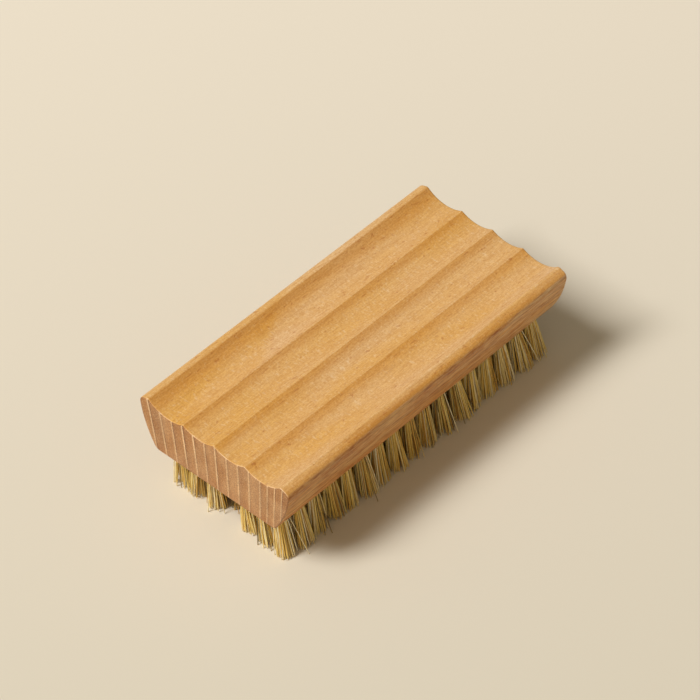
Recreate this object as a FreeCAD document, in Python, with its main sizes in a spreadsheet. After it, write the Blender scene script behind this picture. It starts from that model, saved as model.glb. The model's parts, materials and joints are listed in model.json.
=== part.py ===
# Wooden nail brush: a fluted block of oiled beech with tufts of plant fibre anchored in blind holes.
# Lengths are in millimetres, +X runs along the block, +Y across it and +Z up.
# The origin is on the surface that the cut bristle tips stand on, under the middle of the block.

import FreeCAD, Part
import Sketcher
import math
import os

# Every size that can be set by itself, as name and value.
driving_sizes = (
    # the block: its three outer sizes, then the underside between its corners as if they were sharp
    ("block_length", 95.0),
    ("block_width", 46.2),
    ("block_thickness", 15.0),
    ("base_width", 36.8),
    ("side_radius", 30.0),
    # the sloping land between each side and the crest beside it
    ("land_width", 2.7),
    ("land_drop", 1.0),
    # the scooped finger flutes
    ("flute_count", 4),
    ("flute_depth", 2.4),
    ("outer_flute_share", 0.3),
    # the softened edges of the wood; the far end is sanded a little rounder than the near one
    ("ridge_round", 0.4),
    ("crest_round", 0.9),
    ("shoulder_round", 1.8),
    ("base_round", 1.8),
    ("near_end_round_share", 0.85),
    ("far_end_round", 0.5),
    # the grid of tufts: rows go across the block and lanes run along it
    ("row_count", 17),
    ("lane_count", 7),
    ("row_inset", 4.8),
    ("lane_inset", 3.4),
    ("hole_web", 1.6),
    ("hole_roof", 3.7),
    ("drill_point_share", 0.577),
    # the bristles: free length under the block, and how far the outer lanes splay out
    ("bristle_length", 13.0),
    ("outer_splay", 2.5),
    ("tip_gap", 0.4),
    ("tuft_collar", 0.8),
    ("fibre_clearance", 0.05),
    ("fold_share", 0.45),
    # the flat wire anchor that pins the fold of each tuft
    ("anchor_thickness", 0.3),
    ("anchor_height", 1.8),
    ("anchor_bite", 0.25),
    ("anchor_cover", 0.3),
    ("anchor_clearance", 0.02),
    # how far a cutting shape runs past the face it cuts
    ("overrun", 1.0),
)

doc = FreeCAD.newDocument("nail_brush")
sheet = doc.addObject("Spreadsheet::Sheet", "Sizes")
for line, (name, value) in enumerate(driving_sizes, start=1):
    sheet.set(f"A{line}", name)
    sheet.set(f"B{line}", str(value))
    sheet.setAlias(f"B{line}", name)
doc.recompute()


def cell(text):
    """An expression in which each word marked with @ is a cell of the sheet."""
    return text.replace("@", "Sizes.")


def number(text):
    """What an expression comes to now."""
    found = sheet.evalExpression(cell(text))
    return float(getattr(found, "Value", found))


# Sizes that follow from the driving ones, as expressions.
crest_level = "(@bristle_length + @block_thickness)"
shoulder_level = f"({crest_level} - @land_drop)"
crest_edge = "(@block_width / 2 - @land_width)"
flute_pitch = f"(2 * {crest_edge} / (@flute_count + @outer_flute_share))"
flute_half = f"({flute_pitch} * (1 + @outer_flute_share) / 2)"
flute_radius = f"(({flute_half} ^ 2 + @flute_depth ^ 2) / (2 * @flute_depth))"
flute_axis = f"({crest_level} - @flute_depth + {flute_radius})"
ridge_level = f"({flute_axis} - sqrt({flute_radius} ^ 2 - ({flute_pitch} / 2) ^ 2))"
outer_lane = "(@base_width / 2 - @lane_inset)"
lane_pitch = f"(2 * {outer_lane} / (@lane_count - 1))"
row_pitch = "((@block_length - 2 * @row_inset) / (@row_count - 1))"
near_pitch = f"min({lane_pitch}; {row_pitch})"
hole_radius = f"(({near_pitch} - @hole_web) / 2)"
point_height = f"({hole_radius} * @drill_point_share)"
hole_depth = f"(@block_thickness - @flute_depth - @hole_roof - {point_height})"
root_radius = f"({hole_radius} - @fibre_clearance)"
root_depth = f"({hole_depth} - @fibre_clearance)"
tip_radius = f"(({near_pitch} - @tip_gap) / 2)"
anchor_width = f"(2 * {hole_radius} + 2 * @anchor_bite)"
anchor_top = f"({hole_depth} - @anchor_cover)"
slit_thickness = "(@anchor_thickness + 2 * @anchor_clearance)"
slit_width = f"({anchor_width} + 2 * @anchor_clearance)"

flutes = range(int(number("@flute_count")))
rows = range(int(number("@row_count")))
lanes = range(int(number("@lane_count")))
middle_lane = lanes[len(lanes) // 2]
end_rows = (rows[0], rows[-1])


def bind(thing, **expressions):
    """Ties properties of a thing to expressions; a double underscore stands for a dot."""
    for name, expression in expressions.items():
        thing.setExpression(name.replace("__", "."), cell(expression))


def add(kind, name, **expressions):
    """A new object of the document, with its own label and bound sizes."""
    thing = doc.addObject(kind, name)
    thing.Label = name
    bind(thing, **expressions)
    return thing


def group(name, members):
    """Several shapes that keep their own solids under one name."""
    thing = add("Part::Compound", name)
    thing.Links = members
    return thing


def lean_of(lane):
    """The lane's place at the holes' mouths, its place at the tips, and its tilt about X."""
    root = f"({outer_lane} - {lane} * {lane_pitch})"
    tip = f"({root} * (1 + @outer_splay / {outer_lane}))"
    tilt = f"atan(({tip} - {root}) / @bristle_length)"
    return root, tip, tilt


def place_in_lane(thing, lane):
    """Stands a shape made at the hole's mouth into the wood of this lane."""
    root, tip, tilt = lean_of(lane)
    bind(
        thing,
        Placement__Base__y=root,
        Placement__Base__z="@bristle_length",
        Placement__Rotation__Axis__x="1",
        Placement__Rotation__Axis__z="0",
        Placement__Rotation__Angle=tilt,
    )


def in_lanes(kind, shape):
    """A shape made at the hole's mouth, stood in each lane."""
    copies = [group(f"{kind}_in_lane_{lane + 1}", [shape]) for lane in lanes]
    for lane, copy in zip(lanes, copies):
        place_in_lane(copy, lane)
    return copies


def in_rows(kind, lane_shapes):
    """One named group for each row across the block; an end row leaves out the middle lane."""
    made = []
    for row in rows:
        filled = [lane for lane in lanes if row not in end_rows or lane != middle_lane]
        across = group(f"{kind}_row_{row + 1:02d}", [lane_shapes[lane] for lane in filled])
        bind(across, Placement__Base__x=f"@row_inset - @block_length / 2 + {row} * {row_pitch}")
        made.append(across)
    return made


def flat_point(x, y):
    return FreeCAD.Vector(x, y, 0)


def arc_between(start, end, radius):
    """The shorter arc, anticlockwise from start to end."""
    half = (end - start).Length / 2
    middle = (start + end) / 2
    along = (end - start).normalize()
    outwards = flat_point(along.y, -along.x)
    bulge = radius - math.sqrt(radius**2 - half**2)
    return Part.Arc(start, middle + outwards * bulge, end)


def outline_pieces():
    """The block's end, anticlockwise from the left end of the underside, as named curves."""
    low = number("@bristle_length")
    side = number("@side_radius")
    left_base = flat_point(-number("@base_width") / 2, low)
    right_base = flat_point(number("@base_width") / 2, low)
    left_shoulder = flat_point(-number("@block_width") / 2, number(shoulder_level))
    right_shoulder = flat_point(number("@block_width") / 2, number(shoulder_level))
    left_crest = flat_point(-number(crest_edge), number(crest_level))
    right_crest = flat_point(number(crest_edge), number(crest_level))
    between = [number(flute_pitch) * (flute + 1 - len(flutes) / 2) for flute in flutes[:-1]]
    ridges = [flat_point(across, number(ridge_level)) for across in between]
    tops = [left_crest, *ridges, right_crest]
    pieces = {
        "underside": Part.LineSegment(left_base, right_base),
        "right_side": arc_between(right_base, right_shoulder, side),
        "right_land": Part.LineSegment(right_shoulder, right_crest),
    }
    for flute in reversed(flutes):
        pieces[f"flute_{flute + 1}"] = arc_between(tops[flute], tops[flute + 1], number(flute_radius))
    pieces["left_land"] = Part.LineSegment(left_crest, left_shoulder)
    pieces["left_side"] = arc_between(left_shoulder, left_base, side)
    return pieces


def draw_outline(sketch):
    """Draws the block's end and ties each of its sizes to the sheet."""
    first, last, centre = 1, 2, 3
    origin = (-1, first)
    upright_axis = -2
    pieces = outline_pieces()
    place = {name: sketch.addGeometry(curve, False) for name, curve in pieces.items()}

    def tie(kind, *where):
        sketch.addConstraint(Sketcher.Constraint(kind, *where))

    def measure(kind, name, expression, *where):
        """A named constraint whose size is an expression."""
        index = sketch.addConstraint(Sketcher.Constraint(kind, *where, number(expression)))
        sketch.renameConstraint(index, name)
        sketch.setExpression(f"Constraints.{name}", cell(expression))

    # a flute's arc runs against the order of the outline
    names = list(pieces)
    for one, following in zip(names, names[1:] + names[:1]):
        leaving = first if one.startswith("flute") else last
        arriving = last if following.startswith("flute") else first
        tie("Coincident", place[one], leaving, place[following], arriving)

    under = place["underside"]
    right = place["right_land"]
    left = place["left_land"]
    tie("Symmetric", under, first, under, last, upright_axis)
    tie("Symmetric", right, first, left, last, upright_axis)
    tie("Equal", place["right_side"], place["left_side"])
    measure("DistanceX", "base", "@base_width", under, first, under, last)
    measure("DistanceX", "width", "@block_width", left, last, right, first)
    measure("DistanceY", "underside", "@bristle_length", *origin, under, first)
    measure("DistanceY", "shoulder", shoulder_level, *origin, right, first)
    measure("DistanceY", "right_crest", crest_level, *origin, right, last)
    measure("DistanceY", "left_crest", crest_level, *origin, left, first)
    measure("Radius", "side", "@side_radius", place["right_side"])
    for flute in flutes:
        name = f"flute_{flute + 1}"
        steps = flute - (len(flutes) - 1) / 2
        axis = (place[name], centre)
        ends = (*origin, *axis) if steps > 0 else (*axis, *origin)
        measure("DistanceX", f"{name}_across", f"{abs(steps)} * {flute_pitch}", *ends)
        measure("DistanceY", f"{name}_up", flute_axis, *origin, *axis)
        measure("Radius", f"{name}_radius", flute_radius, place[name])


def soften(body, name, radius, wanted):
    """Rounds the edges of the body so far that pass a test."""
    sharp = body.Tip
    edges = enumerate(sharp.Shape.Edges, start=1)
    rounded = body.newObject("PartDesign::Fillet", name)
    rounded.Base = (sharp, [f"Edge{index}" for index, edge in edges if wanted(edge)])
    bind(rounded, Radius=radius)
    body.Tip = rounded
    doc.recompute()


def make_blank():
    """The block before drilling: its fluted outline padded to length, then its edges rounded."""
    body = add("PartDesign::Body", "blank")
    roles = {part.Role: part for part in body.Origin.OriginFeatures}
    outline = body.newObject("Sketcher::SketchObject", "end_outline")
    outline.AttachmentSupport = (roles["YZ_Plane"], [""])
    outline.MapMode = "FlatFace"
    draw_outline(outline)
    pad = body.newObject("PartDesign::Pad", "fluted_bar")
    pad.Profile = outline
    pad.Midplane = True
    bind(pad, Length="@block_length")
    doc.recompute()

    end = number("@block_length") / 2
    low = number("@bristle_length")
    side = number(f"({crest_edge} + @block_width / 2) / 2")
    small = number("@ridge_round") / 10

    def runs_along(edge):
        return abs(edge.BoundBox.XLength - 2 * end) < small

    def is_base(edge):
        return runs_along(edge) and abs(edge.BoundBox.Center.z - low) < small

    def is_shoulder(edge):
        return runs_along(edge) and not is_base(edge) and abs(edge.BoundBox.Center.y) > side

    def is_crest(edge):
        return runs_along(edge) and abs(edge.BoundBox.Center.z - number(crest_level)) < small

    def is_ridge(edge):
        return runs_along(edge) and abs(edge.BoundBox.Center.z - number(ridge_level)) < small

    def is_near_end(edge):
        return edge.BoundBox.XLength < small and edge.BoundBox.Center.x < small - end

    def is_far_end(edge):
        return edge.BoundBox.XLength < small and edge.BoundBox.Center.x > end - small

    soften(body, "base_rounding", "@base_round", is_base)
    soften(body, "shoulder_rounding", "@shoulder_round", is_shoulder)
    soften(body, "crest_rounding", "@crest_round", is_crest)
    soften(body, "ridge_rounding", "@ridge_round", is_ridge)
    soften(body, "near_end_rounding", "@ridge_round * @near_end_round_share", is_near_end)
    soften(body, "far_end_rounding", "@far_end_round", is_far_end)
    return body


def make_drill():
    """What one hole takes out of the wood, its mouth at the origin: bore, drill point and slits."""
    bore = add("Part::Cylinder", "bore", Radius=hole_radius, Height=f"{hole_depth} + @overrun")
    bind(bore, Placement__Base__z="-@overrun")
    point = add("Part::Cone", "drill_point", Radius1=hole_radius, Height=point_height)
    point.Radius2 = 0
    bind(point, Placement__Base__z=hole_depth)
    slits = add("Part::Box", "anchor_slits", Length=slit_thickness, Width=slit_width)
    bind(
        slits,
        Height=f"{anchor_top} + @anchor_clearance + @overrun",
        Placement__Base__x=f"-{slit_thickness} / 2",
        Placement__Base__y=f"-{slit_width} / 2",
        Placement__Base__z="-@overrun",
    )
    drill = add("Part::MultiFuse", "drilled_hole")
    drill.Shapes = [bore, point, slits]
    return drill


def make_anchor():
    """One flat wire anchor, in the same frame as the drilled hole."""
    anchor = add("Part::Box", "anchor", Length="@anchor_thickness", Width=anchor_width)
    bind(
        anchor,
        Height="@anchor_height",
        Placement__Base__x="-@anchor_thickness / 2",
        Placement__Base__y=f"-{anchor_width} / 2",
        Placement__Base__z=f"{anchor_top} - @anchor_height",
    )
    return anchor


def make_tuft_root():
    """The part of a tuft inside its hole, folded over the anchor and split by it."""
    shank = add("Part::Cylinder", "tuft_shank", Radius=root_radius, Height=f"{root_depth} + @tuft_collar")
    bind(shank, Placement__Base__z="-@tuft_collar")
    fold = add("Part::Cone", "tuft_fold", Radius1=root_radius, Radius2=f"{root_radius} * @fold_share")
    bind(
        fold,
        Height=f"{root_radius} * (1 - @fold_share) * @drill_point_share",
        Placement__Base__z=root_depth,
    )
    whole = add("Part::Fuse", "tuft_in_hole")
    whole.Base = shank
    whole.Tool = fold
    seat = add("Part::Box", "anchor_seat", Length=slit_thickness, Width=slit_width)
    bind(
        seat,
        Height="@anchor_height + 2 * @anchor_clearance",
        Placement__Base__x=f"-{slit_thickness} / 2",
        Placement__Base__y=f"-{slit_width} / 2",
        Placement__Base__z=f"{anchor_top} - @anchor_height - @anchor_clearance",
    )
    root = add("Part::Cut", "tuft_root")
    root.Base = whole
    root.Tool = seat
    return root


def make_tufts():
    """One tuft for each lane: its root, and the fibre that widens down to tips trimmed flat."""
    tufts = []
    for lane, leaned_root in zip(lanes, in_lanes("tuft_root", make_tuft_root())):
        root, tip, tilt = lean_of(lane)
        neck = add("Part::Circle", f"tuft_neck_{lane + 1}", Radius=root_radius)
        place_in_lane(neck, lane)
        bind(
            neck,
            Placement__Base__y=f"{root} + @tuft_collar * sin({tilt})",
            Placement__Base__z=f"@bristle_length - @tuft_collar * cos({tilt})",
        )
        tips = add("Part::Circle", f"tuft_tips_{lane + 1}", Radius=tip_radius)
        bind(tips, Placement__Base__y=tip)
        spread = add("Part::Loft", f"tuft_spread_{lane + 1}")
        spread.Sections = [neck, tips]
        spread.Solid = True
        spread.Ruled = True
        tuft = add("Part::Fuse", f"tuft_in_lane_{lane + 1}")
        tuft.Base = leaned_root
        tuft.Tool = spread
        tufts.append(tuft)
    return tufts


blank = make_blank()
brush_block = add("Part::Cut", "brush_block")
brush_block.Base = blank
brush_block.Tool = group("all_holes", in_rows("hole", in_lanes("hole", make_drill())))
tuft_rows = in_rows("tuft", make_tufts())
anchor_rows = in_rows("anchor", in_lanes("anchor", make_anchor()))
doc.recompute()

for thing in doc.Objects:
    if "Invalid" in thing.State or "Error" in thing.State:
        raise RuntimeError(f"{thing.Label} was not built: {thing.State}")

sub_parts = {}
for part in (brush_block, *tuft_rows, *anchor_rows):
    if part.Shape.isNull() or not part.Shape.isValid() or not part.Shape.Solids:
        raise RuntimeError(f"{part.Label} has no valid solid")
    sub_parts[part.Label] = Part.makeCompound(part.Shape.Solids)

os.makedirs("parts", exist_ok=True)
for label, shape in sub_parts.items():
    shape.exportStep(os.path.join("parts", f"{label}.step"))
    print(f"{label}: {len(shape.Solids)} solids, {shape.Volume:.2f} mm3")
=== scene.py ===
import json
import math
import random

import bpy
import numpy as np
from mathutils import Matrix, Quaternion, Vector

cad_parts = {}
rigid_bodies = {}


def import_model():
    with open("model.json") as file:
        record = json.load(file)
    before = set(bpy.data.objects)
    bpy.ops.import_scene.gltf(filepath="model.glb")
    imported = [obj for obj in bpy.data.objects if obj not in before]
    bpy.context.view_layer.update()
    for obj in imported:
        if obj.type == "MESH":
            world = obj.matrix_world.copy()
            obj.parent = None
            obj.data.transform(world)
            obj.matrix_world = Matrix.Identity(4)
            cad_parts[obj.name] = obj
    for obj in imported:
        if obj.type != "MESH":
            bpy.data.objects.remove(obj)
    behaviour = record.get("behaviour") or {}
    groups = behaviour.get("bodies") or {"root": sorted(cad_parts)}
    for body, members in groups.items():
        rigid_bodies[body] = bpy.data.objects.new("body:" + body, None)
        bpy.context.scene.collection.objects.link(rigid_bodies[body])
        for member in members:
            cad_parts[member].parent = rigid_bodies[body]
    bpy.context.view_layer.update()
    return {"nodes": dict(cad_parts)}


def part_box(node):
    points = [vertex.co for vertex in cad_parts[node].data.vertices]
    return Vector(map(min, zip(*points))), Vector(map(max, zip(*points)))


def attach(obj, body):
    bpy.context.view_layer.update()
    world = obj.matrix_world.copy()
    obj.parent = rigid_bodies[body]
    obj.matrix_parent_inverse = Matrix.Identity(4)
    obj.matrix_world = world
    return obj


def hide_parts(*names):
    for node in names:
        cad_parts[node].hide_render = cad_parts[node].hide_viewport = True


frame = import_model()
mm = 0.001  # sizes below are in millimetres, and the scene is in metres
print("frame loaded:", len(frame["nodes"]), "nodes")


# Small tools for picking things and for building materials

def clearSelection():
    bpy.ops.object.select_all(action="DESELECT")


def tone(code):
    # a screen colour such as "dfa95f", as the linear colour that a shader takes
    shares = [int(code[i:i + 2], 16) / 255 for i in (0, 2, 4)]
    return [s / 12.92 if s <= 0.04045 else ((s + 0.055) / 1.055) ** 2.4 for s in shares] + [1.0]


def addNode(tree, kind, inputs=None, **settings):
    made = tree.nodes.new("ShaderNode" + kind)
    for name, value in settings.items():
        setattr(made, name, value)
    for socket, value in (inputs or {}).items():
        if isinstance(value, bpy.types.NodeSocket):
            tree.links.new(value, made.inputs[socket])
        else:
            made.inputs[socket].default_value = value
    return made


def calculate(tree, operation, *values):
    return addNode(tree, "Math", dict(enumerate(values)), operation=operation).outputs[0]


def product(tree, *values):
    found = values[0]
    for value in values[1:]:
        found = calculate(tree, "MULTIPLY", found, value)
    return found


def total(tree, *values):
    found = values[0]
    for value in values[1:]:
        found = calculate(tree, "ADD", found, value)
    return found


def vectorStep(tree, operation, first, second):
    return addNode(tree, "VectorMath", {0: first, 1: second}, operation=operation).outputs["Vector"]


def alongWay(tree, place, way):
    # how far a place lies along a direction
    return addNode(tree, "VectorMath", {0: place, 1: way}, operation="DOT_PRODUCT").outputs["Value"]


def axesOf(tree, vector):
    return addNode(tree, "SeparateXYZ", {0: vector}).outputs


def fade(tree, value, start, full, fromValue=0.0, toValue=1.0):
    # a soft step: fromValue up to the start, and toValue once the value is past the full place
    values = {"Value": value, "From Min": start, "From Max": full, "To Min": fromValue, "To Max": toValue}
    return addNode(tree, "MapRange", values, interpolation_type="SMOOTHSTEP").outputs[0]


def layer(tree, share, under, over, blend="MIX"):
    # one colour laid over another, as in paint
    return addNode(tree, "Mix", {0: share, 6: under, 7: over}, data_type="RGBA", blend_type=blend).outputs[2]


def ramp(tree, value, piece, name):
    # a colour ramp, whose stops stand in the piece's dictionary as pairs of a place and a tone's name
    made = addNode(tree, "ValToRGB", {0: value})
    stops = made.color_ramp.elements
    while len(stops) < len(piece[name]):
        stops.new(0.5)
    for stop, (place, tint) in zip(stops, piece[name]):
        stop.position = place
        stop.color = piece[tint]
    return made.outputs[0]


def newMaterial(name, **sockets):
    material = bpy.data.materials.new(name)
    material.use_nodes = True
    shader = material.node_tree.nodes["Principled BSDF"]
    for socket, value in sockets.items():
        shader.inputs[socket.replace("_", " ")].default_value = value
    return material, material.node_tree, shader


def objectPlace(tree):
    # the point on the piece, in millimetres
    place = addNode(tree, "TexCoord").outputs["Object"]
    return addNode(tree, "Mapping", {"Vector": place, "Scale": (1 / mm, 1 / mm, 1 / mm)}).outputs[0]


def bentBy(tree, place, cycles, reach):
    # the place, moved aside by a slow noise, so that the grain wanders
    slow = vectorStep(tree, "MULTIPLY", place, cycles)
    noise = addNode(tree, "TexNoise", {"Vector": slow, "Scale": 1.0, "Detail": 1.0}).outputs["Color"]
    aside = vectorStep(tree, "SUBTRACT", noise, (0.5, 0.5, 0.5))  # noise has its middle at a half
    return vectorStep(tree, "ADD", place, vectorStep(tree, "MULTIPLY", aside, reach))


def makeSpecksGroup():
    # noise drawn out along an axis and cut to specks, for grain, pores, flecks and scratches
    group = bpy.data.node_groups.new("drawnSpecks", "ShaderNodeTree")
    for name, kind in (("Place", "Vector"), ("Cycles", "Vector"), ("Low", "Float"), ("High", "Float")):
        group.interface.new_socket(name, in_out="INPUT", socket_type="NodeSocket" + kind)
    group.interface.new_socket("Mask", in_out="OUTPUT", socket_type="NodeSocketFloat")
    given = group.nodes.new("NodeGroupInput").outputs
    scaled = vectorStep(group, "MULTIPLY", given["Place"], given["Cycles"])
    noise = addNode(group, "TexNoise", {"Vector": scaled, "Scale": 1.0, "Detail": 2.0})
    mask = fade(group, noise.outputs[0], given["Low"], given["High"])
    group.links.new(mask, group.nodes.new("NodeGroupOutput").inputs["Mask"])
    return group


specksGroup = makeSpecksGroup()


def specks(tree, place, look):
    # a mask of specks. A look holds noise cycles per millimetre along, across and up, and the noise
    # at which a speck starts and is full; where it is laid over a colour, also its strength and tone
    values = {"Place": place, "Cycles": look["cycles"], "Low": look["low"], "High": look["high"]}
    return addNode(tree, "Group", values, node_tree=specksGroup).outputs["Mask"]


def speckled(tree, place, piece, name, colour, *where):
    # specks from a piece's dictionary laid over a colour, held to the masks that are given last
    look = piece[name]
    share = product(tree, specks(tree, place, look), *where, look["share"])
    return layer(tree, share, colour, piece[look["tint"]])


# The block: oiled beech, sawn so that its growth rings stand upright across its end

beech = dict(
    # tones of the long grain, of painted flank shade, of the side walls with painted bounce light, and of the
    # sawn ends
    golden=tone("eab45c"), pale=tone("f1cb9b"), deep=tone("be7f3a"), russet=tone("a4521f"),
    flake=tone("f6d8ac"), streak=tone("94440c"), paleStreak=tone("ffeccc"), wornHighlightTone=tone("f8d8ac"),
    paintedFlankShade=tone("fbeccb"), wallShade=tone("f2dcae"), lowWallPaintedBounce=tone("fad298"),
    farWallPaintedLight=tone("fff4d4"), ringWhite=tone("ffffff"), ringCream=tone("f6f0e8"), ringTan=tone("dcc8ae"),
    endLine=tone("f4cc9a"), endPale=tone("ecc08c"), endMiddle=tone("b57c44"), endDark=tone("a36d3a"),
    endDarkest=tone("74431c"), endBrown=tone("784824"), endBase=tone("a9683c"),
    # growth rings: their width, which is less past an edge, where they start and how they lean
    ringPitch=3.35, tightPitch=2.1, tightEdge=-14.4, ringStart=0.2985,
    ringLevel=20.5, ringLean=0.055, ringLeanGain=0.0062,
    # the colours through a ring, in the long grain and on the sawn ends, where some rings show less
    ringStops=((0.0, "ringWhite"), (0.1, "ringCream"), (1.0, "ringTan")), ringShade=0.12,
    endStops=((0.0, "endLine"), (0.09, "endLine"), (0.17, "endMiddle"), (0.6, "endMiddle"),
              (0.88, "endDark"), (1.0, "endDarkest")),
    endContrast=(0.75, 1.0),
    # how pale the wood is all over and in its patches, and how brown along the last crest
    paleShare=0.14, paleBeyond=0.24, paleMiddle=0.09, paleCrest=0.4, deepCorner=-0.15, brownCrest=0.22,
    # the patches: where each starts and is full, in millimetres, then its strength at both, if not 0 and 1
    lineSlant=1.6, slantLine=(-39.0, -33.0), firstFlute=(8.5, 10.5), flutePaling=(45.0, 5.0, 0.4, 1.0),
    crestInner=(-15.5, -18.0), crestOuter=(-21.0, -19.8), crestPaling=(-25.0, 0.0, 0.3, 1.0),
    brownStart=(-32.0, -22.0), brownEnd=(2.0, -10.0), brownSide=(-19.6, -20.8), middlePart=(32.0, 6.0),
    lowWall=(22.0, 14.0), farWall=(-5.0, 45.0), endFoot=(17.0, 13.2), wornHighlightSide=(8.0, -14.0, 0.2, 1.0),
    # faces that are told apart by how far they turn towards an axis
    offWall=(0.9, 0.75), level=(0.93, 0.985), flank=(-0.15, -0.5), wall=(0.75, 0.92), onTop=(0.2, 0.6),
    wornHighlightStart=(0.3, 0.5), wornHighlightEnd=(0.7, 0.9), endEdge=(0.08, 0.35), sawnEnd=(0.35, 0.52), endReach=0.2,
    # how the long grain and the rings wander
    grainBend=dict(cycles=(0.012, 0.05, 0.05), reach=(0.0, 5.0, 5.0)),
    ringBend=dict(cycles=(0.02, 0.05, 0.03), reach=(0.0, 1.6, 0.0)),
    # specks of the long grain
    drift=dict(cycles=(0.025, 0.09, 0.09), low=0.38, high=0.62, share=0.36),
    broadLines=dict(cycles=(0.02, 0.6, 0.6), low=0.4, high=0.7, share=0.08),
    fibreLines=dict(cycles=(0.06, 1.7, 1.7), low=0.4, high=0.75, share=0.14),
    fineLines=dict(cycles=(0.25, 3.4, 3.4), low=0.38, high=0.72, share=0.3),
    pores=dict(cycles=(1.8, 4.0, 4.0), low=0.48, high=0.7, share=0.28, tint="deep"),
    rayMarks=dict(cycles=(0.34, 0.12, 4.6), low=0.62, high=0.71, share=0.36, tint="russet"),
    rayFlakes=dict(cycles=(0.9, 0.4, 3.0), low=0.6, high=0.74, share=0.34, tint="flake"),
    rayTicks=dict(cycles=(2.6, 0.7, 2.6), low=0.52, high=0.74, share=0.34, tint="flake"),
    grit=dict(cycles=(2.0, 2.6, 2.6), low=0.46, high=0.6, share=0.26, tint="deep"),
    redFlecks=dict(cycles=(0.5, 0.8, 1.4), low=0.66, high=0.73, share=0.4, tint="russet"),
    # streaks on the side walls, each with its cycles, strength and tone
    wallStreaks=(((0.05, 0.1, 0.12), 0.35, "streak"), ((0.06, 0.15, 0.25), 0.4, "paleStreak"),
                 ((0.05, 0.3, 1.0), 0.35, "paleStreak"), ((0.08, 0.3, 1.5), 0.5, "streak"),
                 ((0.25, 0.3, 2.8), 0.5, "streak"), ((0.5, 0.3, 3.2), 0.3, "paleStreak")),
    wallLow=0.42, wallHigh=0.7,
    # specks of the sawn ends and of their top edge, worn pale and with a painted highlight
    endStreaks=dict(cycles=(0.1, 1.6, 0.12), low=0.35, high=0.75, share=0.28, tint="endBrown"),
    endClouds=dict(cycles=(0.1, 0.14, 0.1), low=0.35, high=0.65, share=0.32, tint="endPale"),
    endShadows=dict(cycles=(0.1, 0.2, 0.08), low=0.45, high=0.7, share=0.3, tint="endDarkest"),
    endPores=dict(cycles=(0.3, 3.6, 3.6), low=0.46, high=0.66, share=0.5, tint="endBrown"),
    endGlints=dict(cycles=(0.3, 3.6, 4.2), low=0.54, high=0.7, share=0.45, tint="endPale"),
    edgeDarkSpecks=dict(cycles=(0.3, 0.3, 0.3), low=0.25, high=0.55, share=0.6, tint="endDarkest"),
    wornEdgeHighlight=dict(cycles=(0.2, 0.35, 0.2), low=0.4, high=0.6, share=0.5, tint="wornHighlightTone"),
    footShare=0.25,
    # the satin surface, and how far its lines stand in it
    roughness=(0.42, 0.58), fineRelief=0.5, bump=0.4, bumpHeight=0.03,
)


def ringsOf(tree, across, up):
    # counts growth rings from -Y to +Y: gives the ring's own number, the share of the way through it,
    # and the place across the rings
    lean = calculate(tree, "MULTIPLY_ADD", across, beech["ringLeanGain"], beech["ringLean"])
    height = calculate(tree, "SUBTRACT", up, beech["ringLevel"])
    upright = calculate(tree, "SUBTRACT", across, product(tree, lean, height))
    wide = calculate(tree, "DIVIDE", upright, beech["ringPitch"])
    past = calculate(tree, "MINIMUM", calculate(tree, "SUBTRACT", upright, beech["tightEdge"]), 0.0)
    extra = product(tree, past, 1 / beech["tightPitch"] - 1 / beech["ringPitch"])
    count = total(tree, wide, extra, beech["ringStart"])
    return calculate(tree, "FLOOR", count), calculate(tree, "FRACT", count), upright


def makePatches(tree, grain, facing):
    # the ground colour of the long grain: gold, with patches that are paler, deeper or browner
    along, across = axesOf(tree, grain)[:2]
    # the first flute is deep gold up to a slanting line, and paler beyond it
    slanted = calculate(tree, "SUBTRACT", along, product(tree, across, beech["lineSlant"]))
    beyond = fade(tree, slanted, *beech["slantLine"])
    inFlute = fade(tree, across, *beech["firstFlute"])
    corner = product(tree, calculate(tree, "SUBTRACT", 1.0, beyond), inFlute)
    farPart = product(tree, beyond, inFlute, fade(tree, along, *beech["flutePaling"]))
    # the last crest is pale
    crest = product(tree, fade(tree, across, *beech["crestInner"]), fade(tree, across, *beech["crestOuter"]),
                    fade(tree, along, *beech["crestPaling"]))
    middlePart = fade(tree, calculate(tree, "ABSOLUTE", along), *beech["middlePart"])
    pale = total(tree, product(tree, specks(tree, grain, beech["drift"]), beech["drift"]["share"]),
                 product(tree, farPart, beech["paleBeyond"]), product(tree, middlePart, beech["paleMiddle"]),
                 product(tree, crest, beech["paleCrest"]), beech["paleShare"],
                 product(tree, corner, beech["deepCorner"]))
    colour = layer(tree, calculate(tree, "MAXIMUM", pale, 0.0), beech["golden"], beech["pale"])
    # a browner stretch runs along that crest's outer side, from near the end to the middle
    brown = product(tree, fade(tree, along, *beech["brownStart"]), fade(tree, along, *beech["brownEnd"]),
                    fade(tree, across, *beech["brownSide"]),
                    fade(tree, calculate(tree, "ABSOLUTE", facing[1]), *beech["offWall"]))
    return layer(tree, product(tree, brown, beech["brownCrest"]), colour, beech["russet"])


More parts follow.
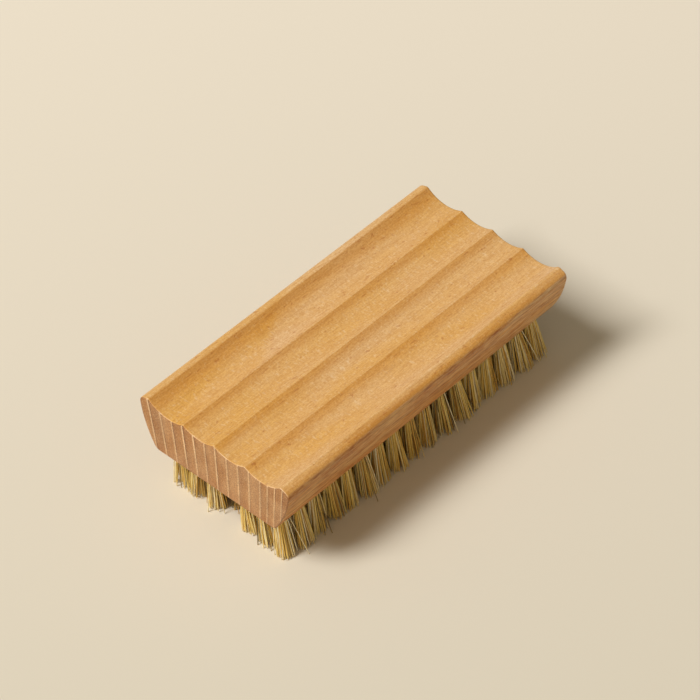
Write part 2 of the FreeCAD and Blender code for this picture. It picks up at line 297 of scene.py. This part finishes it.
def makeLongGrain(tree, place, facing, ringShare):
    # the wood along its fibres: lines, and the rays, dark dashes on slopes and pale flakes on flats
    grain = bentBy(tree, place, **beech["grainBend"])
    colour = makePatches(tree, grain, facing)
    lines = {name: specks(tree, grain, beech[name]) for name in ("broadLines", "fibreLines", "fineLines")}
    for name, mask in lines.items():
        colour = layer(tree, product(tree, mask, beech[name]["share"]), colour, beech["deep"])
    colour = speckled(tree, grain, beech, "pores", colour)
    colour = layer(tree, beech["ringShade"], colour, ramp(tree, ringShare, beech, "ringStops"), "MULTIPLY")
    level = fade(tree, calculate(tree, "ABSOLUTE", facing[2]), *beech["level"])
    slope = calculate(tree, "SUBTRACT", 1.0, level)
    colour = speckled(tree, place, beech, "rayMarks", colour, slope)
    colour = speckled(tree, place, beech, "rayFlakes", colour, level)
    for name in ("rayTicks", "grit", "redFlecks"):
        colour = speckled(tree, place, beech, name, colour)
    # painted shade: flanks that face -Y, away from the lamp, are made darker and warmer
    colour = layer(tree, fade(tree, facing[1], *beech["flank"]), colour, beech["paintedFlankShade"], "MULTIPLY")
    return colour, lines


def makeWalls(tree, place, ringPlace, facing, colour):
    # the side walls are streaked and a little darker, least at their foot and at the far end, where painted
    # bounce light warms and lifts them
    onWall = fade(tree, calculate(tree, "ABSOLUTE", facing[1]), *beech["wall"])
    for cycles, share, tint in beech["wallStreaks"]:
        look = dict(cycles=cycles, low=beech["wallLow"], high=beech["wallHigh"])
        streaks = product(tree, specks(tree, place, look), share, onWall)
        colour = layer(tree, streaks, colour, beech[tint])
    low, far = fade(tree, ringPlace[2], *beech["lowWall"]), fade(tree, ringPlace[0], *beech["farWall"])
    # painted bounce light: warmer towards the foot of the walls, lighter towards the far end
    shade = layer(tree, low, beech["wallShade"], beech["lowWallPaintedBounce"])
    shade = layer(tree, far, shade, beech["farWallPaintedLight"])
    return layer(tree, onWall, colour, shade, "MULTIPLY")


def makeEndGrain(tree, place, ring, ringShare, upright):
    # each ring starts with a pale line and darkens towards the next one
    own = addNode(tree, "TexWhiteNoise", {"W": ring}, noise_dimensions="1D").outputs[0]
    contrast = fade(tree, own, 0.0, 1.0, *beech["endContrast"])
    colour = layer(tree, contrast, beech["endMiddle"], ramp(tree, ringShare, beech, "endStops"))
    parts = axesOf(tree, place)
    inRing = addNode(tree, "CombineXYZ", {0: parts[0], 1: upright, 2: parts[2]}).outputs[0]
    colour = speckled(tree, inRing, beech, "endStreaks", colour)
    for name in ("endClouds", "endShadows", "endPores", "endGlints"):
        colour = speckled(tree, place, beech, name, colour)
    foot = product(tree, fade(tree, parts[2], *beech["endFoot"]), beech["footShare"])
    return layer(tree, foot, colour, beech["endBase"])


def makeBeech():
    material, tree, shader = newMaterial("oiledBeech")
    place = objectPlace(tree)
    facing = axesOf(tree, addNode(tree, "TexCoord").outputs["Normal"])
    ringPlace = axesOf(tree, bentBy(tree, place, **beech["ringBend"]))
    ring, ringShare, upright = ringsOf(tree, ringPlace[1], ringPlace[2])
    colour, lines = makeLongGrain(tree, place, facing, ringShare)
    colour = makeWalls(tree, place, ringPlace, facing, colour)
    # the sawn ends, darker in specks along their lower and +Y edges, and reaching over all edges but the top
    # one
    endColour = makeEndGrain(tree, place, ring, ringShare, upright)
    aside = calculate(tree, "MAXIMUM", product(tree, facing[2], -1.0), facing[1])
    endColour = speckled(tree, place, beech, "edgeDarkSpecks", endColour, fade(tree, aside, *beech["endEdge"]))
    endFacing = calculate(tree, "ABSOLUTE", facing[0])
    onTop = fade(tree, facing[2], *beech["onTop"])
    turned = calculate(tree, "SUBTRACT", endFacing, product(tree, onTop, beech["endReach"]))
    colour = layer(tree, fade(tree, turned, *beech["sawnEnd"]), colour, endColour)
    # the rounded top edge of the ends is worn pale and carries a painted highlight, strongest towards -Y
    edge = calculate(tree, "SUBTRACT", fade(tree, endFacing, *beech["wornHighlightStart"]),
                     fade(tree, endFacing, *beech["wornHighlightEnd"]))
    side = fade(tree, ringPlace[1], *beech["wornHighlightSide"])
    # partly wear, partly painted highlight where the rounded edge would catch the lamp
    colour = speckled(tree, place, beech, "wornEdgeHighlight", colour, edge, onTop, side)
    tree.links.new(colour, shader.inputs["Base Color"])
    # the fibre lines stand in the surface and change its gloss
    relief = total(tree, product(tree, lines["fineLines"], beech["fineRelief"]), lines["fibreLines"])
    bump = {"Strength": beech["bump"], "Distance": beech["bumpHeight"] * mm, "Height": relief}
    tree.links.new(addNode(tree, "Bump", bump).outputs[0], shader.inputs["Normal"])
    roughness = fade(tree, lines["fibreLines"], 0.0, 1.0, *beech["roughness"])
    tree.links.new(roughness, shader.inputs["Roughness"])
    return material


frame["nodes"]["brush_block"].material_slots[0].material = makeBeech()
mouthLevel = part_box("brush_block")[0].z  # the holes open in the underside
print("block finished")


# The anchors: short flat wires, bright and drawn, that pin the tufts in their holes

anchor = dict(
    bright=tone("c9c6bf"), grey=tone("a5a29b"), stain=tone("8a8276"),
    drawn=dict(cycles=(0.4, 12.0, 12.0), low=0.3, high=0.8, share=1.0, tint="grey"),
    dull=dict(cycles=(1.5, 1.5, 1.5), low=0.45, high=0.7, share=0.4),
    roughness=(0.25, 0.5),
)


def makeWire():
    material, tree, shader = newMaterial("drawnWire", Metallic=1.0)
    place = objectPlace(tree)
    dull = specks(tree, place, anchor["dull"])
    colour = speckled(tree, place, anchor, "drawn", anchor["bright"])
    colour = layer(tree, product(tree, dull, anchor["dull"]["share"]), colour, anchor["stain"])
    tree.links.new(colour, shader.inputs["Base Color"])
    tree.links.new(fade(tree, dull, 0.0, 1.0, *anchor["roughness"]), shader.inputs["Roughness"])
    return material


wire = makeWire()
anchorRows = sorted(name for name in frame["nodes"] if name.startswith("anchor_row_"))
for name in anchorRows:
    frame["nodes"][name].material_slots[0].material = wire
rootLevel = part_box(anchorRows[0])[0].z  # the roots stand level with the anchors' lowest point; in the real brush the strands fold round the anchors
print("anchors finished:", len(anchorRows), "rows")


# The fibres: one is modelled, and each tuft is a bundle of bent copies of it

fibre = dict(
    # the strand: its section, the share of its length inside the hole, and the rings along the rest
    sides=5, radius=0.13, flatten=0.85, tipGirth=0.85, mouthShare=0.34, bends=5, smoothAngle=80,
    # tones from the darkest strand to the palest, then painted shade by the mouth, the cut tips and mottling
    black=tone("20170e"), brown=tone("583a18"), tan=tone("bc8230"), straw=tone("f0c258"),
    yellow=tone("ffe484"), cream=tone("fff8dc"), mouthPaintedShade=tone("c89860"), tipTone=tone("dcc48c"),
    mottleTone=tone("b08a48"),
    stops=((0.0, "black"), (0.12, "brown"), (0.22, "tan"), (0.45, "straw"), (0.72, "yellow"), (1.0, "cream")),
    mottle=dict(cycles=(3.0, 3.0, 0.5), low=0.35, high=0.7, share=0.3, tint="mottleTone"),
    mouthShadeSpan=(0.5, 0.34), cutTip=(0.93, 1.0), cutTipShare=0.35,  # by the share of the strand's length
    # how many strands are of each kind, and where their tones lie between 0 and 1
    darkShare=0.05, brownShare=0.1, strayShare=0.04,
    darkTones=(0.0, 0.12), brownTones=(0.15, 0.35), strayTones=(0.03, 0.6, 0.85, 0.97),
    middleTone=0.66, toneSpread=0.18, toneLimits=(0.32, 0.98),
)
tuft = dict(
    lanes=7, perTuft=112, girthSpread=0.3,
    # radii and places in millimetres, at the mouth of the hole and at the tips
    mouthOuter=15.0, mouthRadius=1.35, tipRadius=2.7, tipScatter=0.2, unevenTips=0.8,
    lean=0.6, bow=0.108, wave=0.05,
    # shares of those radii
    rootShare=0.9, spread=(0.94, 1.06), strayReach=(0.2, 0.8),
    clumps=7, clumpPlaces=0.85, clumping=0.16, turnNoise=0.12, seed=11,
)
# Tufts and single strands that stand out in the photograph. Rows are counted from the near end and lanes
# from +Y, both from 0. A tuft leans so far at its tips, along and across in millimetres, and is so much
# paler than the rest; a neat one has no strand standing out
# positive paler values are painted light on tufts at the near end and along -Y that fall too deep in shade;
# the negative one in row 1, lane 3 is painted shade in the gap behind the missing middle tuft
ownTufts = {
    (0, 0): dict(lean=(1.2, -2.5), paler=0.06),
    (0, 1): dict(lean=(0.8, -1.0), paler=0.06),
    (0, 2): dict(lean=(0.9, -0.9), paler=0.06),
    (0, 4): dict(lean=(0.7, -0.3), paler=0.05, neat=True),
    (0, 5): dict(lean=(0.6, -0.3), paler=0.05),
    (0, 6): dict(lean=(0.3, 0.5), paler=0.16),
    (1, 3): dict(lean=(-1.3, 0.3), paler=-0.5, neat=True),
    (1, 6): dict(lean=(0.3, 0.3), paler=0.1),
    (2, 6): dict(paler=0.06),
    (12, 6): dict(paler=0.06),
    (13, 6): dict(paler=0.08),
    (14, 6): dict(paler=0.1),
    (15, 6): dict(paler=0.12),
    (16, 6): dict(lean=(0.9, 0.0), paler=0.14),
}
# single strands, with their places at the mouth and at the tip in millimetres
ownStrands = [
    dict(row=0, mouth=(-43.5, -9.3), tip=(-45.0, -10.6), shade=0.0, girth=1.3),
    dict(row=0, mouth=(-41.3, -15.7), tip=(-39.2, -21.1), shade=0.97, girth=0.8),
    dict(row=1, mouth=(-36.0, -15.7), tip=(-34.2, -18.0), shade=0.04, girth=1.3),
    dict(row=8, mouth=(0.4, -15.6), tip=(2.0, -17.6), shade=0.02, girth=1.4),
    dict(row=10, mouth=(11.6, -16.0), tip=(11.8, -19.8), shade=0.02, girth=1.3),
    dict(row=10, mouth=(11.1, -16.2), tip=(11.9, -21.0), shade=0.95, girth=1.1),
    dict(row=15, mouth=(36.7, -15.5), tip=(36.3, -18.3), shade=0.02, girth=1.3),
    dict(row=15, mouth=(38.1, -15.6), tip=(39.0, -19.9), shade=0.92, girth=1.2),
    dict(row=16, mouth=(44.0, -15.5), tip=(44.4, -20.3), shade=0.8, girth=1.0),
]
# the chart: each strand of a row has a cell, in which its side lies between two heights and its ends
# above and below it, and these are shares of the cell
chart = dict(columns=28, margin=0.05, sideLow=0.15, sideHigh=0.85, rootEnd=0.93, tipEnd=0.07,
             endRadius=0.05, endWiden=8)


def makeFibreMaterial():
    material, tree, shader = newMaterial("plantFibre", Roughness=0.35, Specular_IOR_Level=0.9,
                                         Specular_Tint=tone("fff0c0"), Sheen_Weight=0.6,
                                         Sheen_Roughness=0.5, Sheen_Tint=tone("ffe08c"))
    shade = addNode(tree, "Attribute", attribute_name="strandTone").outputs["Fac"]
    along = addNode(tree, "Attribute", attribute_name="strandAlong").outputs["Fac"]
    colour = ramp(tree, shade, fibre, "stops")
    # painted shade: strands darken towards the mouth, where the tufts shade each other
    colour = layer(tree, fade(tree, along, *fibre["mouthShadeSpan"]), colour, fibre["mouthPaintedShade"], "MULTIPLY")
    colour = speckled(tree, objectPlace(tree), fibre, "mottle", colour)
    tip = product(tree, fade(tree, along, *fibre["cutTip"]), fibre["cutTipShare"])
    colour = layer(tree, tip, colour, fibre["tipTone"])
    tree.links.new(colour, shader.inputs["Base Color"])
    return material


def modelFibre():
    clearSelection()
    radius = fibre["radius"] * mm
    bpy.ops.mesh.primitive_circle_add(vertices=fibre["sides"], radius=radius, fill_type="NGON")
    piece = bpy.context.object
    bpy.ops.object.mode_set(mode="EDIT")
    bpy.ops.mesh.select_all(action="SELECT")
    bpy.ops.transform.resize(value=(1, fibre["flatten"], 1), center_override=(0, 0, 0))
    steps = [fibre["mouthShare"]] + [(1 - fibre["mouthShare"]) / fibre["bends"]] * fibre["bends"]
    taper = fibre["tipGirth"] ** (1 / len(steps))
    level = 0.0
    for step in steps:  # drawn out ring by ring; the strand is one metre long until it is bent
        level -= step
        bpy.ops.mesh.extrude_region_move(TRANSFORM_OT_translate={"value": (0, 0, -step)})
        bpy.ops.transform.resize(value=(taper, taper, 1), center_override=(0, 0, level))
    bpy.ops.mesh.select_all(action="SELECT")
    bpy.ops.mesh.normals_make_consistent(inside=False)
    bpy.ops.object.mode_set(mode="OBJECT")
    bpy.ops.object.shade_smooth_by_angle(angle=math.radians(fibre["smoothAngle"]))
    return piece


def turnShare(spot):
    # the share of a full turn at which a point stands round the strand
    return (math.atan2(spot.y, spot.x) / (2 * math.pi)) % 1


def unwrapFibre(piece):
    # the side unrolls into the middle of the cell, and the two ends lie above and below it
    mesh = piece.data
    while mesh.uv_layers:
        mesh.uv_layers.remove(mesh.uv_layers[0])
    cells = mesh.uv_layers.new(name="OFBake")
    size = chart["endRadius"] / (fibre["radius"] * mm)
    for face in mesh.polygons:
        middle = sum((mesh.vertices[v].co for v in face.vertices), Vector()) / len(face.vertices)
        isEnd = len(face.vertices) == fibre["sides"] and abs(face.normal.z) > 0.9
        for loop in face.loop_indices:
            spot = mesh.vertices[mesh.loops[loop].vertex_index].co
            if isEnd:
                base = chart["rootEnd"] if middle.z > -0.5 else chart["tipEnd"]
                cells.data[loop].uv = (0.5 + spot.x * size * chart["endWiden"], base + spot.y * size)
            else:
                angle = turnShare(spot)
                angle = min(max(angle + round(turnShare(middle) - angle), 0), 1)
                across = chart["margin"] + (1 - 2 * chart["margin"]) * angle
                up = chart["sideHigh"] + (chart["sideHigh"] - chart["sideLow"]) * spot.z
                cells.data[loop].uv = (across, up)


strand = modelFibre()
unwrapFibre(strand)
strand.data.materials.append(makeFibreMaterial())
corners = len(strand.data.vertices)
strandRest = np.zeros(corners * 3)
strand.data.vertices.foreach_get("co", strandRest)
strandRest = strandRest.reshape(-1, 3)
strandShare = -strandRest[:, 2]  # the share of the length at each point, from the root
strand.data.attributes.new("strandTone", "FLOAT", "POINT")
strandAlong = strand.data.attributes.new("strandAlong", "FLOAT", "POINT")
strandAlong.data.foreach_set("value", strandShare.astype(np.float32))
strandChart = np.zeros(len(strand.data.loops) * 2)
strand.data.uv_layers[0].data.foreach_get("uv", strandChart)
strandChart = strandChart.reshape(-1, 2)
chartRows = math.ceil((tuft["lanes"] * tuft["perTuft"] + len(ownStrands)) / chart["columns"])


def bendCopy(copies, root, mouth, tip, bow, wave, girth, shade):
    # adds a copy of the strand from root through mouth to tip, each a point in metres
    piece = strand.copy()
    piece.data = strand.data.copy()
    bpy.context.collection.objects.link(piece)
    root, mouth, tip, bow, wave = (np.array(p) for p in (root, mouth, tip, bow, wave))
    inHole = np.clip(strandShare / fibre["mouthShare"], 0, 1)[:, None]
    free = np.clip((strandShare - fibre["mouthShare"]) / (1 - fibre["mouthShare"]), 0, 1)[:, None]
    line = root + (mouth - root) * inHole + (tip - mouth) * free + bow * np.sin(math.pi * free)
    line += wave * np.sin(2 * math.pi * free)
    turned = math.atan2(bow[1], bow[0])  # the strand is widest the way it bows
    flatX, flatY = strandRest[:, 0] * girth, strandRest[:, 1] * girth
    line[:, 0] += flatX * math.cos(turned) - flatY * math.sin(turned)
    line[:, 1] += flatX * math.sin(turned) + flatY * math.cos(turned)
    piece.data.vertices.foreach_set("co", line.ravel())
    piece.data.attributes["strandTone"].data.foreach_set("value", np.full(corners, shade, np.float32))
    column, row = len(copies) % chart["columns"], len(copies) // chart["columns"]
    cell = (strandChart + (column, row)) / (chart["columns"], chartRows)
    piece.data.uv_layers["OFBake"].data.foreach_set("uv", cell.ravel())
    copies.append(piece)


def fibreShade(draw):
    kind = draw.random()
    if kind < fibre["darkShare"]:
        return draw.uniform(*fibre["darkTones"])
    if kind < fibre["darkShare"] + fibre["brownShare"]:
        return draw.uniform(*fibre["brownTones"])
    lowest, highest = fibre["toneLimits"]
    return min(max(draw.gauss(fibre["middleTone"], fibre["toneSpread"]), lowest), highest)


def fanOut(i, clumps, spread, draw):
    # where strand i of a tuft lies in the round mouth, and where it lies at the tips, drawn a little
    # towards the nearest clump, both as shares of the radius
    reach = math.sqrt((i + 0.5) / tuft["perTuft"])
    goldenAngle = math.pi * (3 - math.sqrt(5))
    angle = i * goldenAngle + draw.uniform(-tuft["turnNoise"], tuft["turnNoise"])
    x, y = math.cos(angle) * reach, math.sin(angle) * reach
    near = min(clumps, key=lambda clump: (clump[0] - x) ** 2 + (clump[1] - y) ** 2)
    pull = tuft["clumping"]
    return x, y, (x + (near[0] - x) * pull) * spread, (y + (near[1] - y) * pull) * spread


def makeTuft(copies, row, lane, low, high, draw):
    middle = (low.x + high.x) / 2
    side = 1 - 2 * lane / (tuft["lanes"] - 1)  # from 1 at the first lane to -1 at the last
    tipOuter = high.y - (high.x - low.x) / 2
    mouthY = side * tuft["mouthOuter"] * mm
    lean = (draw.uniform(-1, 1) * tuft["lean"], draw.uniform(-1, 1) * tuft["lean"])
    own = ownTufts.get((row, lane), {})
    leanX, leanY = own.get("lean", lean)
    tipX, tipY = middle + leanX * mm, side * tipOuter + leanY * mm
    spread = draw.uniform(*tuft["spread"])
    far = tuft["clumpPlaces"]
    clumps = [(draw.uniform(-far, far), draw.uniform(-far, far)) for _ in range(tuft["clumps"])]
    hole, end = tuft["mouthRadius"] * mm, tuft["tipRadius"] * mm
    inner = hole * tuft["rootShare"]
    for i in range(tuft["perTuft"]):
        outX, outY, fanX, fanY = fanOut(i, clumps, spread, draw)
        stray = draw.uniform(*tuft["strayReach"]) if draw.random() < fibre["strayShare"] else 0.0
        beyond = end if own.get("neat") else end * (1 + stray)
        root = (middle + outX * inner, mouthY + outY * inner, rootLevel)
        mouth = (middle + outX * hole, mouthY + outY * hole, mouthLevel)
        tip = (tipX + fanX * beyond + draw.gauss(0, tuft["tipScatter"]) * mm,
               tipY + fanY * beyond + draw.gauss(0, tuft["tipScatter"]) * mm,
               low.z + tuft["unevenTips"] * draw.random() ** 2 * mm)
        bow = (draw.gauss(0, tuft["bow"]) * mm, draw.gauss(0, tuft["bow"]) * mm, 0)
        wave = (draw.gauss(0, tuft["wave"]) * mm, draw.gauss(0, tuft["wave"]) * mm, 0)
        girth = 1 + draw.uniform(-1, 1) * tuft["girthSpread"]
        shade = draw.choice(fibre["strayTones"]) if stray else fibreShade(draw)
        shade = min(max(shade + own.get("paler", 0.0), 0.0), 1.0)
        bendCopy(copies, root, mouth, tip, bow, wave, girth, shade)


def makeTuftRow(row, name, draw):
    low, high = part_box(name)
    copies = []
    for lane in range(tuft["lanes"]):
        if name in (tuftRows[0], tuftRows[-1]) and lane == tuft["lanes"] // 2:
            continue  # the middle hole is left out of the end rows
        makeTuft(copies, row, lane, low, high, draw)
    for own in ownStrands:
        if own["row"] == row:
            mouth = (own["mouth"][0] * mm, own["mouth"][1] * mm, mouthLevel)
            root = (mouth[0], mouth[1], rootLevel)
            tip = (own["tip"][0] * mm, own["tip"][1] * mm, low.z)
            bendCopy(copies, root, mouth, tip, (0, 0, 0), (0, 0, 0), own["girth"], own["shade"])
    clearSelection()
    for piece in copies:
        piece.select_set(True)
    bpy.context.view_layer.objects.active = copies[0]
    bpy.ops.object.join()
    bundle = copies[0]
    bundle.name = name.replace("tuft", "fibres")
    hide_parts(name)
    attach(bundle, "root")


tuftRows = sorted(name for name in frame["nodes"] if name.startswith("tuft_row_"))
draw = random.Random(tuft["seed"])
for row, name in enumerate(tuftRows):
    makeTuftRow(row, name, draw)
bpy.data.objects.remove(strand)
bpy.data.batch_remove([m for m in bpy.data.meshes if not m.users])
print("fibres finished:", len(tuftRows), "rows")


# The stage: a plain pale floor, soft light from the upper left and the photograph's camera

stage = dict(
    # in metres; the floor is paler away from the camera, which is painted light, and the sky is brighter
    # before the near end
    floorSize=6.0, nearFloor=tone("dad1bd"), farFloor=tone("efe5d3"), fadeReach=0.15,
    sky=0.27, skyColour=tone("fff1d6"), skyLean=0.45, skyTowards=(-0.98, -0.2, 0.0),
)
# the lamp: its direction from the object, its distance and size in metres, and its level at the object
keyLamp = dict(towards=(-0.556, 0.246, 0.794), distance=3.6, share=0.92, sizeX=0.92, sizeY=1.65)
# the camera: angles in degrees, its distance and near limit in metres, and what it aims at in millimetres
view = dict(azimuth=-47.295, elevation=45.186, roll=-0.381, distance=0.881597, clipStart=0.01,
            aimRight=-1.593, aimUp=-4.312, aimLevel=28.0, focalPixels=3856.49, imagePixels=700, sensor=36.0)


def makeFloor():
    material, tree, shader = newMaterial("paleFloor", Roughness=0.9, Specular_IOR_Level=0.1)
    turn = math.radians(view["azimuth"])
    away = (-math.sin(turn), math.cos(turn), 0.0)  # the way the camera looks, along the floor
    depth = alongWay(tree, addNode(tree, "TexCoord").outputs["Object"], away)
    reach = {"Value": depth, "From Min": -stage["fadeReach"], "From Max": stage["fadeReach"]}
    share = addNode(tree, "MapRange", reach).outputs[0]
    # painted light: the floor's colour grows paler away from the camera
    colour = layer(tree, share, stage["nearFloor"], stage["farFloor"])
    tree.links.new(colour, shader.inputs["Base Color"])
    clearSelection()
    bpy.ops.mesh.primitive_plane_add(size=stage["floorSize"], location=(0, 0, 0))
    floor = bpy.context.object
    floor.name = "floor"
    floor.data.materials.append(material)


def makeSky():
    world = bpy.data.worlds.new("paleSky")
    world.use_nodes = True
    tree = world.node_tree
    sky = tree.nodes["Background"]
    sky.inputs["Color"].default_value = stage["skyColour"]
    nearEnd = alongWay(tree, addNode(tree, "TexCoord").outputs["Generated"], stage["skyTowards"])
    strength = calculate(tree, "MULTIPLY_ADD", nearEnd, stage["sky"] * stage["skyLean"], stage["sky"])
    tree.links.new(strength, sky.inputs["Strength"])
    bpy.context.scene.world = world


def makeLamp():
    towards = Vector(keyLamp["towards"]).normalized()
    bpy.ops.object.light_add(type="AREA", location=towards * keyLamp["distance"])
    lamp = bpy.context.object
    lamp.rotation_mode = "QUATERNION"
    lamp.rotation_quaternion = towards.to_track_quat("Z", "Y")
    lamp.data.shape = "RECTANGLE"
    lamp.data.size, lamp.data.size_y = keyLamp["sizeX"], keyLamp["sizeY"]
    lamp.data.energy = keyLamp["share"] * (math.pi * keyLamp["distance"]) ** 2


def makeCamera():
    turn, lift = math.radians(view["azimuth"]), math.radians(view["elevation"])
    back = Vector((math.sin(turn) * math.cos(lift), -math.cos(turn) * math.cos(lift), math.sin(lift)))
    right = Vector((math.cos(turn), math.sin(turn), 0))
    up = back.cross(right)
    aim = Vector((0, 0, view["aimLevel"])) + right * view["aimRight"] + up * view["aimUp"]
    bpy.ops.object.camera_add(location=aim * mm + back * view["distance"])
    camera = bpy.context.object
    level = (-back).to_track_quat("-Z", "Y")
    camera.rotation_mode = "QUATERNION"
    camera.rotation_quaternion = level @ Quaternion((0, 0, 1), math.radians(view["roll"]))
    camera.data.sensor_width = view["sensor"]
    camera.data.lens = view["focalPixels"] / view["imagePixels"] * view["sensor"]
    camera.data.clip_start = view["clipStart"]
    bpy.context.scene.camera = camera


makeFloor()
makeSky()
makeLamp()
makeCamera()
bpy.context.scene.view_settings.view_transform = "Standard"
print("stage finished")
